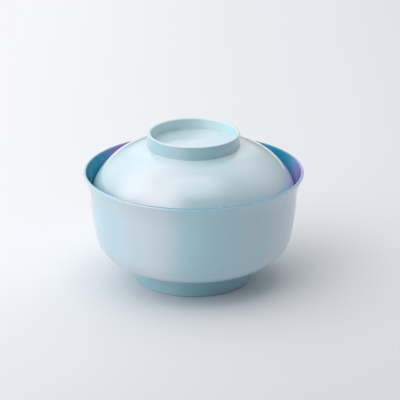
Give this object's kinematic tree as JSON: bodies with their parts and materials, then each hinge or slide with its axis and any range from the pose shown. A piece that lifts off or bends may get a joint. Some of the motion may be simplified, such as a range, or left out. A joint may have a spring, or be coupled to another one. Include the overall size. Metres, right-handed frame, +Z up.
{
  "type": "lidded soup bowl",
  "caption": "Lacquered soup bowl on a foot ring, with a flared lip and a lift-off domed lid that sits inside the rim and has a knob ring on top.",
  "frame": {"origin": "centre of the foot ring's standing face, on the table", "axes": "+Z up along the bowl's axis; bowl and lid are bodies of revolution, so +X and +Y only name two sides"},
  "size_m": [0.12, 0.12, 0.0834],
  "materials": {
    "core": "turned wood, bare on the standing edge of the foot",
    "outer_lacquer": "pale ice-blue lacquer with a faint pearl and a high gloss",
    "inner_lacquer": "teal to blue to violet pearl lacquer with fine flakes under a high gloss"
  },
  "bodies": {
    "bowl": {"bowl_core": "core", "bowl_outer_coat": "outer_lacquer", "bowl_foot_coat": "outer_lacquer", "bowl_inner_coat": "inner_lacquer"},
    "lid": {"lid_core": "core", "lid_outer_coat": "outer_lacquer", "lid_inner_coat": "inner_lacquer"}
  },
  "joints": [
    {"name": "lid_lift", "type": "slide", "parent": "bowl", "child": "lid", "axis": [0, 0, 1], "range_m": [0, 0.1]}
  ]
}
